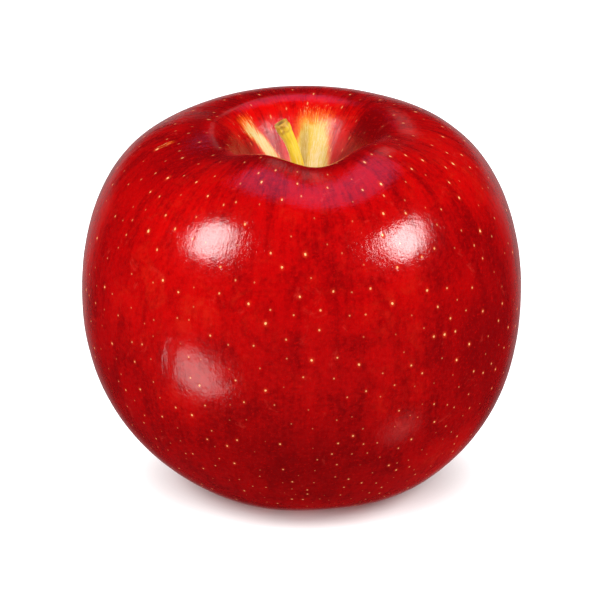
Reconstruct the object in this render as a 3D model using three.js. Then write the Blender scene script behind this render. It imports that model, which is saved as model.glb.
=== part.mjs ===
// A whole fresh apple with its stem, standing on the five low lobes round its calyx basin.
// Millimetres, +Z up, front towards -Y. The origin is on the resting surface, under the
// middle of the belly.

import * as THREE from "three";

// Fruit: radii are from the upright axis, heights from the resting surface.
const BELLY_RADIUS = 42;
const BELLY_HEIGHT = 38.2;
const CREST_RADIUS = 17.8;
const CREST_HEIGHT = 72.8;
const CAVITY_DEPTH = 18;
const REST_RADIUS = 11.2;
const BASIN_DEPTH = 10.5;
const FLAT_PRESS = 0.35; // how far the resting lobes are flattened

// Fullness of the profile: the share of each run that its curve spends still level or upright.
const BASIN_FLOOR_FULLNESS = 0.4;
const BASIN_LIP_FULLNESS = 0.45;
const UNDERSIDE_FULLNESS = 0.4;
const LOWER_BELLY_FULLNESS = 0.67;
const UPPER_BELLY_FULLNESS = 0.86;
const SHOULDER_FULLNESS = 0.7;
const CAVITY_LIP_FULLNESS = 0.4;
const CAVITY_FLOOR_FULLNESS = 0.37;

// Lobes: five soft ribs, strongest round the stem cavity and round the base.
const LOBES = 5;
const FIRST_LOBE_TURN = THREE.MathUtils.degToRad(48); // from the front, towards +X
const CREST_VALLEY_DEPTH = 1.15;
const CREST_FRONT_SHARE = 0.9; // the front valleys are deeper by this share, the back ones shallower
const BASE_VALLEY_LIFT = 0.55;
const BASE_SHIFT = 1.5; // the base lies this far towards +X of the belly
const CREST_TILT = 0.3; // the +X side of the crest stands this much higher

// Stem.
const STEM_LENGTH = 17.6;
const STEM_RADIUS = 1.15;
const STEM_FOOT_RADIUS = 1.45;
const STEM_TIP_RADIUS = 1.5;
const STEM_LEAN = 3.4; // how far the tip stands towards -X of the foot
const STEM_TURNS = 16;

// Dried flower in the calyx basin.
const SEPALS = 5;
const SEPAL_LENGTH = 3.8;
const SEPAL_WIDTH = 2.7;
const SEPAL_THICKNESS = 0.5;
const SEPAL_RING_RADIUS = 2.9;
const SEPAL_CURL = 0.8; // how far the tip bends back outwards
const SEPAL_INWARD_LEAN = THREE.MathUtils.degToRad(14);
const TUFT_RADIUS = 0.85;
const TUFT_TURNS = 12;
const TUFT_LENGTH = 2.4;

const CLEARANCE = 0.35; // gap between pieces that touch on the real fruit

// Mesh steps. The turns are a multiple of the lobes, so that each lobe has its own column.
const FRUIT_TURNS = 75;
const BASIN_STEPS = 9;
const UNDERSIDE_STEPS = 15;
const SHOULDER_STEPS = 12;
const CAVITY_STEPS = 11;
const SAMPLES = 400;

// Stations number the rings of the profile that its four stretches run between.
const REST_STATION = 1;
const CREST_STATION = 3;

const skin = new THREE.MeshStandardMaterial({
  color: new THREE.Color(0.5, 0.002, 0.003),
  roughness: 0.2,
  metalness: 0,
});
const stemWood = new THREE.MeshStandardMaterial({
  color: new THREE.Color(0.8, 0.55, 0.08),
  roughness: 0.6,
  metalness: 0,
});
const driedSepal = new THREE.MeshStandardMaterial({
  color: new THREE.Color(0.2, 0.12, 0.05),
  roughness: 0.85,
  metalness: 0,
});
const driedTuft = new THREE.MeshStandardMaterial({
  color: new THREE.Color(0.11, 0.06, 0.03),
  roughness: 0.9,
  metalness: 0,
});

// A stretch of the fruit's profile: a smooth curve from one ring to the next.
function stretch(start, startHandle, endHandle, end) {
  return new THREE.CubicBezierCurve(
    new THREE.Vector2(...start),
    new THREE.Vector2(...startHandle),
    new THREE.Vector2(...endHandle),
    new THREE.Vector2(...end),
  );
}

// The calyx basin, from the axis out to the resting ring.
const basin = stretch(
  [0, BASIN_DEPTH],
  [REST_RADIUS * BASIN_FLOOR_FULLNESS, BASIN_DEPTH],
  [REST_RADIUS * (1 - BASIN_LIP_FULLNESS), -FLAT_PRESS],
  [REST_RADIUS, -FLAT_PRESS],
);

// The underside, from the resting ring out to the belly.
const underside = stretch(
  [REST_RADIUS, -FLAT_PRESS],
  [REST_RADIUS + UNDERSIDE_FULLNESS * (BELLY_RADIUS - REST_RADIUS), -FLAT_PRESS],
  [BELLY_RADIUS, BELLY_HEIGHT * (1 - LOWER_BELLY_FULLNESS)],
  [BELLY_RADIUS, BELLY_HEIGHT],
);

// The upper half, from the belly to the crest of the shoulder.
const shoulder = stretch(
  [BELLY_RADIUS, BELLY_HEIGHT],
  [BELLY_RADIUS, BELLY_HEIGHT + UPPER_BELLY_FULLNESS * (CREST_HEIGHT - BELLY_HEIGHT)],
  [CREST_RADIUS + (1 - SHOULDER_FULLNESS) * (BELLY_RADIUS - CREST_RADIUS), CREST_HEIGHT],
  [CREST_RADIUS, CREST_HEIGHT],
);

// The stem cavity, from the crest down to the axis.
const cavity = stretch(
  [CREST_RADIUS, CREST_HEIGHT],
  [CREST_RADIUS * (1 - CAVITY_LIP_FULLNESS), CREST_HEIGHT],
  [CREST_RADIUS * CAVITY_FLOOR_FULLNESS, CREST_HEIGHT - CAVITY_DEPTH],
  [0, CREST_HEIGHT - CAVITY_DEPTH],
);

// The height of a stretch at a radius, from its nearest sample.
function heightAt(curve, radius) {
  let nearest = curve.getPoint(0);
  for (let i = 1; i <= SAMPLES; i += 1) {
    const point = curve.getPoint(i / SAMPLES);
    if (Math.abs(point.x - radius) < Math.abs(nearest.x - radius)) nearest = point;
  }
  return nearest.y;
}

// How strongly a ring's own shaping works at a station: 1 on the ring, 0 a whole station away.
function swell(station, ring) {
  const distance = Math.min(Math.abs(station - ring), 1);
  return (1 + Math.cos(Math.PI * distance)) / 2;
}

// How far the fruit's axis is shifted towards +X at a height.
function shiftAt(height) {
  const belowBelly = THREE.MathUtils.clamp(1 - height / BELLY_HEIGHT, 0, 1);
  return BASE_SHIFT * belowBelly ** 2;
}

// Gives a point of the turned profile its lobes, its tilted crest and its flattened feet.
function sculpt(point, station) {
  const turn = Math.atan2(point.x, -point.y);
  const valley = (1 - Math.cos(LOBES * (turn - FIRST_LOBE_TURN))) / 2;
  const crest = swell(station, CREST_STATION);
  const base = swell(station, REST_STATION);
  const crestDepth = CREST_VALLEY_DEPTH * (1 + CREST_FRONT_SHARE * Math.cos(turn));
  point.x += shiftAt(point.z);
  point.z += crest * (CREST_TILT * Math.sin(turn) - crestDepth * valley);
  point.z += base * BASE_VALLEY_LIFT * valley;
  point.z = Math.max(point.z, 0);
}

// The profile's points from the basin's middle to the cavity's middle, each with its station.
function fruitProfile() {
  const points = [basin.getPoint(0)];
  const stations = [0];
  const stretches = [
    [basin, BASIN_STEPS],
    [underside, UNDERSIDE_STEPS],
    [shoulder, SHOULDER_STEPS],
    [cavity, CAVITY_STEPS],
  ];
  stretches.forEach(([curve, steps], index) => {
    for (let step = 1; step <= steps; step += 1) {
      points.push(curve.getPoint(step / steps));
      stations.push(index + step / steps);
    }
  });
  return { points, stations };
}

function fruitGeometry() {
  const { points, stations } = fruitProfile();
  const geometry = new THREE.LatheGeometry(points, FRUIT_TURNS);
  geometry.rotateX(Math.PI / 2);
  const position = geometry.getAttribute("position");
  const point = new THREE.Vector3();
  for (let i = 0; i < position.count; i += 1) {
    point.fromBufferAttribute(position, i);
    sculpt(point, stations[i % points.length]);
    position.setXYZ(i, point.x, point.y, point.z);
  }
  geometry.computeVertexNormals();
  return geometry;
}

// The stem's radius along its length: a rounded foot, a slim middle and a flared, worn tip.
function stemProfile() {
  return [
    new THREE.Vector2(0, 0),
    new THREE.Vector2(STEM_FOOT_RADIUS * 0.7, 0),
    new THREE.Vector2(STEM_FOOT_RADIUS, 0.05 * STEM_LENGTH),
    new THREE.Vector2((STEM_FOOT_RADIUS + STEM_RADIUS) / 2, 0.14 * STEM_LENGTH),
    new THREE.Vector2(STEM_RADIUS, 0.28 * STEM_LENGTH),
    new THREE.Vector2(STEM_RADIUS, 0.5 * STEM_LENGTH),
    new THREE.Vector2(STEM_RADIUS, 0.7 * STEM_LENGTH),
    new THREE.Vector2((STEM_RADIUS + STEM_TIP_RADIUS) / 2, 0.86 * STEM_LENGTH),
    new THREE.Vector2(STEM_TIP_RADIUS, 0.95 * STEM_LENGTH),
    new THREE.Vector2(STEM_TIP_RADIUS * 0.85, STEM_LENGTH),
    new THREE.Vector2(0, STEM_LENGTH),
  ];
}

// The stem, turned straight and then bent along a curve that starts upright.
function stemGeometry() {
  const geometry = new THREE.LatheGeometry(stemProfile(), STEM_TURNS);
  geometry.rotateX(Math.PI / 2);
  const centreLine = new THREE.CubicBezierCurve3(
    new THREE.Vector3(0, 0, 0),
    new THREE.Vector3(0, 0, STEM_LENGTH / 3),
    new THREE.Vector3(-0.1 * STEM_LEAN, 0, (2 / 3) * STEM_LENGTH),
    new THREE.Vector3(-STEM_LEAN, 0, STEM_LENGTH),
  );
  const position = geometry.getAttribute("position");
  const across = new THREE.Vector3();
  for (let i = 0; i < position.count; i += 1) {
    const along = THREE.MathUtils.clamp(position.getZ(i) / STEM_LENGTH, 0, 1);
    const centre = centreLine.getPoint(along);
    const tangent = centreLine.getTangent(along);
    across.set(tangent.z, 0, -tangent.x);
    centre.addScaledVector(across, position.getX(i));
    position.setXYZ(i, centre.x, centre.y + position.getY(i), centre.z);
  }
  geometry.computeVertexNormals();
  return geometry;
}

// One sepal: a flat pointed blade that hangs down from its root and curls outwards at its tip.
// Its root is at the origin and its outer side faces -Y.
function sepalGeometry() {
  const geometry = new THREE.SphereGeometry(1, 12, 10);
  const position = geometry.getAttribute("position");
  for (let i = 0; i < position.count; i += 1) {
    const along = (1 - position.getY(i)) / 2;
    const width = (SEPAL_WIDTH / 2) * (1.25 - 0.75 * along);
    const curl = SEPAL_CURL * along ** 3;
    position.setXYZ(
      i,
      position.getX(i) * width,
      (-position.getZ(i) * SEPAL_THICKNESS) / 2 - curl,
      -along * SEPAL_LENGTH,
    );
  }
  geometry.computeVertexNormals();
  return geometry;
}

// The withered stamens: a narrow cone that frays towards its lower end.
function tuftGeometry() {
  const geometry = new THREE.LatheGeometry(
    [
      new THREE.Vector2(0, -TUFT_LENGTH),
      new THREE.Vector2(TUFT_RADIUS * 0.75, -TUFT_LENGTH * 0.96),
      new THREE.Vector2(TUFT_RADIUS, -TUFT_LENGTH * 0.75),
      new THREE.Vector2(TUFT_RADIUS * 0.6, -TUFT_LENGTH * 0.4),
      new THREE.Vector2(TUFT_RADIUS * 0.7, 0),
      new THREE.Vector2(0, 0),
    ],
    TUFT_TURNS,
  );
  geometry.rotateX(Math.PI / 2);
  return geometry;
}

function piece(name, geometry, material) {
  const mesh = new THREE.Mesh(geometry, material);
  mesh.name = name;
  return mesh;
}

function makeStem() {
  const stem = piece("stem", stemGeometry(), stemWood);
  stem.position.z = heightAt(cavity, STEM_FOOT_RADIUS) + CLEARANCE;
  return stem;
}

// The sepals hang in a ring under the basin's floor, one below each lobe.
function makeSepals() {
  const ring = new THREE.Group();
  const rootRadius = SEPAL_RING_RADIUS + SEPAL_THICKNESS / 2;
  const rootHeight = heightAt(basin, rootRadius) - CLEARANCE;
  for (let i = 0; i < SEPALS; i += 1) {
    const sepal = piece(`sepal_${i + 1}`, sepalGeometry(), driedSepal);
    sepal.position.y = -SEPAL_RING_RADIUS;
    sepal.rotation.x = SEPAL_INWARD_LEAN;
    const arm = new THREE.Group();
    arm.rotation.z = FIRST_LOBE_TURN + (i * 2 * Math.PI) / SEPALS;
    arm.add(sepal);
    ring.add(arm);
  }
  ring.position.set(shiftAt(rootHeight), 0, rootHeight);
  return ring;
}

function makeTuft() {
  const tuft = piece("stamen_tuft", tuftGeometry(), driedTuft);
  const top = heightAt(basin, TUFT_RADIUS) - CLEARANCE;
  tuft.position.set(shiftAt(top), 0, top);
  return tuft;
}

const apple = new THREE.Group();
apple.add(piece("fruit", fruitGeometry(), skin), makeStem(), makeSepals(), makeTuft());

export default apple;
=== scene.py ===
"""A whole fresh apple on a pale floor: glossy red skin with lenticels, a stem in its cavity and a
dried flower in its calyx basin. Lengths are in metres, +Z is up and the front looks towards -Y."""

import bisect
import math
import random

import bmesh
import bpy
from bpy.props import FloatProperty, FloatVectorProperty, IntProperty, PointerProperty
from mathutils import Matrix, Vector, kdtree, noise


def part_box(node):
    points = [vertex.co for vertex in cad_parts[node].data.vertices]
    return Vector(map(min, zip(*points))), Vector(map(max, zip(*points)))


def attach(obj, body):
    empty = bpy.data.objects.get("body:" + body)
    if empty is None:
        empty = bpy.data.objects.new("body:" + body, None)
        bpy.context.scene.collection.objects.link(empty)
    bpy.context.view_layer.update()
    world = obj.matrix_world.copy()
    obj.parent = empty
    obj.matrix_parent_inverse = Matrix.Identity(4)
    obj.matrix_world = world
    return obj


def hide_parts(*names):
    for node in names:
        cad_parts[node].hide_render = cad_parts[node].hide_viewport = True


bl_info = {
    "name": "Fresh Apple",
    "version": (1, 0, 0),
    "blender": (4, 5, 0),
    "location": "3D View > Sidebar > Apple",
    "description": "Builds a glossy red apple, its stem and its dried flower round a packed frame",
    "category": "Object",
}

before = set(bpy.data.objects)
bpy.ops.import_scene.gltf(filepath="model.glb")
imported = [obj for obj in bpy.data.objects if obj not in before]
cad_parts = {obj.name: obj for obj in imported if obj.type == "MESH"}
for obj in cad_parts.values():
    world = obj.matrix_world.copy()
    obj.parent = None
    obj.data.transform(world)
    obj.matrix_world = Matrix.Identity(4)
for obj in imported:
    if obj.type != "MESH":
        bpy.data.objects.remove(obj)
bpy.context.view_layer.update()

MM = 0.001
BODY = "root"
FRUIT_LOW, FRUIT_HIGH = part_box("fruit")
STEM_LOW, STEM_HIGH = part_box("stem")
SEPAL_NODES = sorted(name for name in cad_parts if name.startswith("sepal_"))

MERGE_DISTANCE = 0.001 * MM

LOBES = 5

# Stations count along the fruit's profile: 0 is the basin's middle and 2 is the belly.
REST_STATION = 1
CREST_STATION = 3
LAST_STATION = 4


def length(name, description, default):
    return FloatProperty(
        name=name, description=description, default=default, unit="LENGTH", precision=5
    )


def angle(name, description, degrees):
    return FloatProperty(
        name=name, description=description, default=math.radians(degrees), subtype="ANGLE"
    )


def share(name, description, default):
    return FloatProperty(name=name, description=description, default=default, min=0, max=1)


def brightness(name, description, default):
    return FloatProperty(name=name, description=description, default=default, min=0)


def colour(name, description, default):
    return FloatVectorProperty(
        name=name, description=description, default=default, subtype="COLOR", size=3, min=0, max=1
    )


class FruitSettings(bpy.types.PropertyGroup):
    """Sizes of the fruit, which match the frame's own fruit."""

    belly_radius: length("Belly radius", "Radius of the widest ring", (FRUIT_HIGH.x - FRUIT_LOW.x) / 2)
    belly_height: length("Belly height", "Height of the widest ring", 38.2 * MM)
    crest_radius: length("Crest radius", "Radius of the top of the shoulder", 17.8 * MM)
    crest_height: length("Crest height", "Height of the top of the shoulder", 72.8 * MM)
    cavity_depth: length("Cavity depth", "Depth of the stem cavity below the crest", 18 * MM)
    rest_radius: length("Rest radius", "Radius of the ring the fruit stands on", 11.2 * MM)
    basin_depth: length("Basin depth", "Height of the calyx basin's floor", 10.5 * MM)
    flat_press: length("Flat press", "How far the resting lobes are flattened", 0.35 * MM)
    basin_floor: share("Basin floor fullness", "Share of the basin that stays level", 0.4)
    basin_lip: share("Basin lip fullness", "Share of the basin's lip that stays level", 0.45)
    underside: share("Underside fullness", "Share of the underside that stays level", 0.4)
    lower_belly: share("Lower belly fullness", "Share of the lower half that stays upright", 0.67)
    upper_belly: share("Upper belly fullness", "Share of the upper half that stays upright", 0.86)
    shoulder: share("Shoulder fullness", "Share of the shoulder that stays level", 0.7)
    cavity_lip: share("Cavity lip fullness", "Share of the cavity's lip that stays level", 0.4)
    cavity_floor: share("Cavity floor fullness", "Share of the cavity's floor that stays level", 0.37)
    lobe_turn: angle("Lobe turn", "Where the first lobe stands, from the front towards +X", 48)
    crest_valley: length("Crest valleys", "Depth of the valleys between the crest's lobes", 1.15 * MM)
    crest_front: share("Front valleys", "How much deeper the front valleys are than the average", 0.9)
    base_valley: length("Base valleys", "Lift of the valleys between the resting lobes", 0.55 * MM)
    base_shift: length("Base shift", "How far the base lies towards +X of the belly", 1.5 * MM)
    crest_tilt: length("Crest tilt", "How much higher the +X side of the crest stands", 0.3 * MM)
    undulation: length("Undulation", "Depth of the skin's broad unevenness", 0.1 * MM)
    columns: IntProperty(name="Columns", description="Mesh columns round the fruit", default=300)
    row_length: length("Row length", "Length of one mesh row along the profile", 0.62 * MM)


class SkinSettings(bpy.types.PropertyGroup):
    """Colours and gloss of the skin, and the sizes of its lenticels."""

    # Deep red is also the colour of the painted shade laid on the skin by the flush attribute.
    deep: colour("Deep red", "Darkest streaks of the skin", (0.17, 0.0001, 0.001))
    red: colour("Red", "Main colour of the skin", (0.37, 0.0002, 0.0008))
    # Flush is also the colour of the painted light laid on the skin by the flush attribute.
    flush: colour("Flush", "Brighter orange-red patches", (0.58, 0.001, 0.0006))
    scuff: colour("Scuff", "Faint pale scuffs in the wax", (0.62, 0.03, 0.02))
    orange: colour("Orange", "Where red gives way to the ground colour", (0.72, 0.1, 0.006))
    ground: colour("Ground", "Yellow ground colour in the cavity", (0.62, 0.42, 0.032))
    pale: colour("Pale", "Palest streaks of the ground colour", (0.68, 0.53, 0.24))
    # Russet is also the colour of the painted shadow of the stem up the cavity's wall.
    russet_and_stem_shadow: colour("Russet", "Olive-brown russet beside the stem", (0.34, 0.2, 0.015))
    lenticel: colour("Lenticel", "Core of a lenticel", (0.95, 0.52, 0.2))
    halo: colour("Halo", "Soft ring round a lenticel", (0.6, 0.035, 0.01))
    roughness: share("Roughness", "Roughness of the waxy skin", 0.13)
    spacing_low: length("Low spacing", "Least distance between lenticels near the base", 2.9 * MM)
    spacing_high: length("High spacing", "Least distance between lenticels on the shoulder", 5.0 * MM)
    core_radius: length("Core radius", "Mean radius of a lenticel's core", 0.165 * MM)
    seed: IntProperty(name="Seed", description="Seed of the lenticels' places", default=7)


class StemSettings(bpy.types.PropertyGroup):
    """Sizes and colours of the stem."""

    radius: length("Radius", "Radius of the stem's slim middle", 1.12 * MM)
    foot_radius: length("Foot radius", "Radius where the stem leaves the flesh", 1.5 * MM)
    tip_radius: length("Tip radius", "Radius of the flared tip", 1.36 * MM)
    lean: length("Lean", "How far the tip stands towards -X of the foot", 4.1 * MM)
    sink: length("Sink", "How far the foot starts below the frame's own stem", 0.9 * MM)
    body: colour("Body", "Yellow-green bark of the stem", (0.92, 0.68, 0.035))
    # The ridge colour also paints light on the stem's -X side.
    ridge_and_painted_light: colour("Ridge", "Pale ridges of the bark", (0.88, 0.74, 0.22))
    groove: colour("Groove", "Brown furrows of the bark", (0.5, 0.24, 0.015))
    pith: colour("Pith", "Dark dried pith in the hollow tip", (0.26, 0.12, 0.02))
    tip: colour("Tip", "Dried brown tip", (0.42, 0.15, 0.018))


class CalyxSettings(bpy.types.PropertyGroup):
    """Sizes and colours of the dried flower in the basin."""

    sepal_width: length("Sepal width", "Widest part of a sepal", 2.7 * MM)
    sepal_thickness: length("Sepal thickness", "Thickness of a sepal", 0.32 * MM)
    sepal_curl: length("Sepal curl", "How far a sepal's tip bends outwards", 1.1 * MM)
    ring_radius: length("Ring radius", "Radius of the ring of sepals", 2.9 * MM)
    lean: angle("Lean", "How far the sepals lean inwards", 14)
    filaments: IntProperty(name="Filaments", description="Number of withered stamens", default=15)
    sepal_brown: colour("Sepal brown", "Dried sepal", (0.16, 0.085, 0.03))
    sepal_grey: colour("Sepal grey", "Felted grey-green down on a sepal", (0.4, 0.34, 0.2))
    filament_brown: colour("Filament brown", "Withered stamen", (0.07, 0.032, 0.014))


class StudioSettings(bpy.types.PropertyGroup):
    """The camera and the soft studio light."""

    camera_distance: length("Camera distance", "From the camera to the middle of the apple", 0.6)
    camera_elevation: angle("Camera elevation", "How far the camera looks down", 23.8)
    aim_height: length("Aim height", "Height of the point the camera looks at", 36.8 * MM)
    aim_side: length("Aim side", "Sideways place of the point the camera looks at", -0.3 * MM)
    focal_length: FloatProperty(
        name="Focal length", description="Lens of the camera, in millimetres", default=187.6
    )
    floor_colour: colour("Floor", "Pale floor", (0.7, 0.7, 0.7))
    floor_glow: brightness("Floor glow", "Light the floor gives off away from the apple", 0.85)
    sky_light: brightness("Sky light", "Soft light from all round", 0.43)
    floor_fill: brightness("Floor fill", "Soft light from the floor", 0.95)
    sky_gloss: brightness("Sky gloss", "Pale floor behind that the skin mirrors", 0.3)


# ---------------------------------------------------------------------------------------------
# Node helpers


class Nodes:
    """Adds and links shader nodes in one node tree."""

    def __init__(self, tree):
        self.tree = tree
        tree.nodes.clear()

    def add(self, kind, **settings):
        node = self.tree.nodes.new(kind)
        for name, value in settings.items():
            setattr(node, name, value)
        return node

    def feed(self, socket, value):
        """Sets a socket to a number or colour, or links another node's output to it."""
        if isinstance(value, bpy.types.NodeSocket):
            self.tree.links.new(value, socket)
        elif isinstance(value, (int, float)):
            socket.default_value = value
        else:
            values = list(value)
            socket.default_value = (*values, 1) if socket.type == "RGBA" else values

    def attribute(self, name):
        return self.add("ShaderNodeAttribute", attribute_name=name)

    def maths(self, operation, *values, clamp=False):
        node = self.add("ShaderNodeMath", operation=operation, use_clamp=clamp)
        for socket, value in zip(node.inputs, values):
            self.feed(socket, value)
        return node.outputs[0]

    def vector(self, operation, *values, result="Vector"):
        node = self.add("ShaderNodeVectorMath", operation=operation)
        for socket, value in zip(node.inputs, values):
            self.feed(socket, value)
        return node.outputs[result]

    def scaled(self, vector, scale):
        return self.vector("MULTIPLY", vector, scale)

    def split(self, vector):
        """The three parts of a vector."""
        node = self.add("ShaderNodeSeparateXYZ")
        self.feed(node.inputs[0], vector)
        return node.outputs

    def noise(self, vector, scale, detail=3, roughness=0.5, distortion=0):
        node = self.add("ShaderNodeTexNoise")
        self.feed(node.inputs["Vector"], vector)
        node.inputs["Scale"].default_value = scale
        node.inputs["Detail"].default_value = detail
        node.inputs["Roughness"].default_value = roughness
        node.inputs["Distortion"].default_value = distortion
        return node.outputs["Fac"]

    def span(self, value, low, high, to_low=0, to_high=1):
        """Maps low to high smoothly onto to_low to to_high."""
        node = self.add("ShaderNodeMapRange", interpolation_type="SMOOTHSTEP")
        for socket, number in zip(node.inputs, (value, low, high, to_low, to_high)):
            self.feed(socket, number)
        return node.outputs[0]

    def blend(self, factor, first, second):
        """Mixes two numbers."""
        node = self.add("ShaderNodeMix", data_type="FLOAT")
        for socket, value in zip((node.inputs[0], *node.inputs[2:4]), (factor, first, second)):
            self.feed(socket, value)
        return node.outputs[0]

    def mix(self, factor, first, second):
        """Mixes two colours."""
        node = self.add("ShaderNodeMix", data_type="RGBA")
        self.feed(node.inputs["Factor"], factor)
        self.feed(node.inputs["A"], first)
        self.feed(node.inputs["B"], second)
        return node.outputs["Result"]

    def bump(self, height):
        """Turns a height in metres into a normal."""
        node = self.add("ShaderNodeBump")
        node.inputs["Strength"].default_value = 1.0
        node.inputs["Distance"].default_value = 1.0
        self.feed(node.inputs["Height"], height)
        return node.outputs["Normal"]

    def surface(self, **sockets):
        """Ends the tree in a Principled shader with these sockets."""
        shader = self.add("ShaderNodeBsdfPrincipled")
        for name, value in sockets.items():
            self.feed(shader.inputs[name.replace("_", " ")], value)
        output = self.add("ShaderNodeOutputMaterial")
        self.tree.links.new(shader.outputs["BSDF"], output.inputs["Surface"])


def new_material(name):
    material = bpy.data.materials.new(name)
    material.use_nodes = True
    return material, Nodes(material.node_tree)


# ---------------------------------------------------------------------------------------------
# Shape helpers


def swell(station, ring):
    """How strongly a ring's own shaping works at a station: 1 on the ring, 0 a station away."""
    distance = min(abs(station - ring), 1)
    return (1 + math.cos(math.pi * distance)) / 2


def smooth(value, low, high):
    share_of = min(max((value - low) / (high - low), 0), 1)
    return share_of * share_of * (3 - 2 * share_of)


def cubic(points, t):
    """A point of the cubic curve with these four points."""
    a, b, c, d = points
    s = 1 - t
    return a * s**3 + b * (3 * s * s * t) + c * (3 * s * t * t) + d * t**3


def turn_of(point):
    """The turn of a point round the axis, from the front towards +X."""
    return math.atan2(point.x, -point.y)


def turn_gap(turn, other):
    """The signed angle from one turn to another, at most half a circle."""
    return (turn - other + math.pi) % (2 * math.pi) - math.pi


def wedge(turn, centre, inner, outer):
    """One within the inner half width of a wedge round the axis, fading to 0 at the outer one;
    all but the turn are in degrees."""
    return 1 - smooth(abs(math.degrees(turn_gap(turn, math.radians(centre)))), inner, outer)


def new_piece(name, bm, material):
    """Finishes a bmesh as a smooth object that rides on the body."""
    mesh = bpy.data.meshes.new(name)
    bm.to_mesh(mesh)
    bm.free()
    mesh.shade_smooth()
    mesh.materials.append(material)
    piece = bpy.data.objects.new(name, mesh)
    bpy.context.scene.collection.objects.link(piece)
    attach(piece, BODY)
    return piece


# ---------------------------------------------------------------------------------------------
# Fruit


class FruitShape:
    """The fruit's surface as a function of its station along the profile and its turn."""

    def __init__(self, sizes):
        self.sizes = sizes
        s = sizes
        belly, crest, rest = s.belly_radius, s.crest_radius, s.rest_radius
        foot = -s.flat_press
        rise = s.crest_height - s.belly_height
        floor = s.crest_height - s.cavity_depth
        self.stretches = [
            self.stretch(
                (0, s.basin_depth),
                (rest * s.basin_floor, s.basin_depth),
                (rest * (1 - s.basin_lip), foot),
                (rest, foot),
            ),
            self.stretch(
                (rest, foot),
                (rest + s.underside * (belly - rest), foot),
                (belly, s.belly_height * (1 - s.lower_belly)),
                (belly, s.belly_height),
            ),
            self.stretch(
                (belly, s.belly_height),
                (belly, s.belly_height + s.upper_belly * rise),
                (crest + (1 - s.shoulder) * (belly - crest), s.crest_height),
                (crest, s.crest_height),
            ),
            self.stretch(
                (crest, s.crest_height),
                (crest * (1 - s.cavity_lip), s.crest_height),
                (crest * s.cavity_floor, floor),
                (0, floor),
            ),
        ]

    @staticmethod
    def stretch(*points):
        return [Vector((radius, 0, height)) for radius, height in points]

    def profile(self, station):
        """The profile's radius and height at a station, as a point over +X."""
        index = min(int(station), len(self.stretches) - 1)
        return cubic(self.stretches[index], station - index)

    def even_stations(self, row_length, samples=4000):
        """Stations that lie one row apart along the profile, from the basin to the cavity."""
        stations = [LAST_STATION * sample / samples for sample in range(samples + 1)]
        points = [self.profile(station) for station in stations]
        travelled = [0]
        for before, after in zip(points, points[1:]):
            travelled.append(travelled[-1] + (after - before).length)
        rows = round(travelled[-1] / row_length)
        goals = [travelled[-1] * row / rows for row in range(1, rows)]
        inner = [stations[bisect.bisect(travelled, goal)] for goal in goals]
        return [0, *inner, LAST_STATION]

    def sculpt(self, point, station):
        """Gives a point of the turned profile its lobes, tilted crest and flattened feet."""
        s = self.sizes
        turn = turn_of(point)
        valley = (1 - math.cos(LOBES * (turn - s.lobe_turn))) / 2
        crest_depth = s.crest_valley * (1 + s.crest_front * math.cos(turn))
        below_belly = min(max(1 - point.z / s.belly_height, 0), 1)
        lift = swell(station, CREST_STATION) * (s.crest_tilt * math.sin(turn) - crest_depth * valley)
        lift += swell(station, REST_STATION) * s.base_valley * valley
        return Vector((point.x + s.base_shift * below_belly**2, point.y, point.z + lift))

    def place(self, station, turn):
        """The surface point at a station and a turn."""
        point = self.profile(station)
        return self.sculpt(Matrix.Rotation(turn - math.pi / 2, 3, "Z") @ point, station)


# How deep the ribs in the cavity and the puckers in the basin are.
RIB_DEPTH = 0.12 * MM
PUCKER_DEPTH = 0.16 * MM

# Small marks on the skin: (turn in degrees, height, length, width, depth, lean in degrees).
SKIN_MARKS = (
    (-35, 41.5 * MM, 4.5 * MM, 0.7 * MM, 0.1 * MM, 12),
    (-20, 50.0 * MM, 5.0 * MM, 3.0 * MM, 0.06 * MM, 70),
    (31, 54.0 * MM, 6.0 * MM, 2.5 * MM, 0.05 * MM, 80),
    (-48, 60.0 * MM, 9.0 * MM, 2.2 * MM, 0.08 * MM, 5),
    (140, 45.0 * MM, 8.0 * MM, 2.5 * MM, 0.09 * MM, 20),
    (215, 30.0 * MM, 6.0 * MM, 1.6 * MM, 0.08 * MM, -30),
    (95, 52.0 * MM, 7.0 * MM, 2.0 * MM, 0.07 * MM, 65),
)


def mark_depth(point, sizes):
    """How deep the small marks press the skin in at a point."""
    depth = 0
    turn = turn_of(point)
    for mark_turn, height, mark_length, width, deepest, lean in SKIN_MARKS:
        across = turn_gap(turn, math.radians(mark_turn)) * sizes.belly_radius
        up = point.z - height
        if abs(across) + abs(up) > 3 * mark_length:
            continue
        lean = math.radians(lean)
        along = up * math.cos(lean) + across * math.sin(lean)
        side = across * math.cos(lean) - up * math.sin(lean)
        depth += deepest * math.exp(-((along / mark_length) ** 2) - (side / width) ** 2)
    return depth


def skin_relief(point, station, sizes):
    """The skin's unevenness at a point: broad swells, smaller ripples and the small marks."""
    broad = noise.noise(point / (17 * MM))
    middle = noise.noise(point / (6.5 * MM) + Vector((5, 0, 0)))
    small = noise.noise(point / (2.6 * MM) + Vector((0, 9, 0)))
    relief = sizes.undulation * (broad + 0.42 * middle + 0.13 * small)
    turn = turn_of(point)
    cavity = smooth(station, 3.1, 3.6) * (1 - smooth(station, 3.85, 4))
    ribs = noise.noise(Vector((7 * math.sin(turn), 7 * math.cos(turn), 0.8 * station)))
    relief += cavity * RIB_DEPTH * ribs
    basin = smooth(station, 0.12, 0.45) * (1 - smooth(station, 0.75, 1))
    puckers = math.cos(2 * LOBES * turn + 2 * broad)
    relief += basin * PUCKER_DEPTH * puckers
    return relief - mark_depth(point, sizes)


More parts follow.
